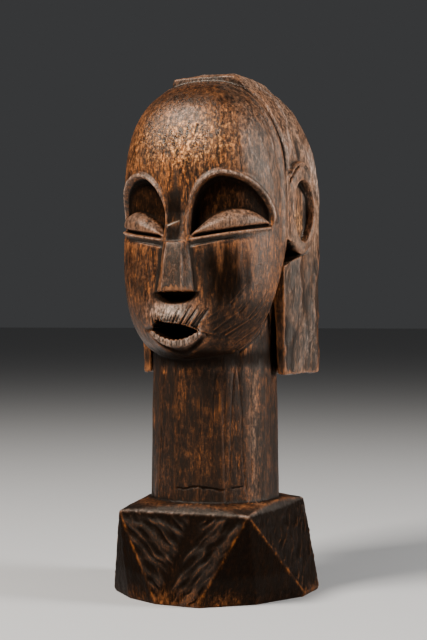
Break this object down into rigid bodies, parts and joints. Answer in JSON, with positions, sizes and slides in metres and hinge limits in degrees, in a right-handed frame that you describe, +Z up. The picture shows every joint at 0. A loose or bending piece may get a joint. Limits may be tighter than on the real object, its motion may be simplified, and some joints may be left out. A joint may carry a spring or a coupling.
{
  "type": "anthropomorphic head",
  "caption": "Carved wooden head with hollow arched eyes, ring ears and a helmet of hair, on a tall column neck and a faceted block foot.",
  "frame": {"origin": "on the ground under the neck, at the middle of the foot's flat underside", "axes": "+Z up along the neck, -Y the way the face looks, +X towards the figure's left ear"},
  "size_m": [0.1375, 0.1443, 0.38],
  "materials": {
    "carved_wood": "dark hardwood under a worn brown-black patina, waxed to a soft sheen on the high parts, orange-brown where edges are rubbed, nearly black in the hollows"
  },
  "bodies": {
    "root": {"carved_head": "carved_wood"}
  },
  "joints": []
}
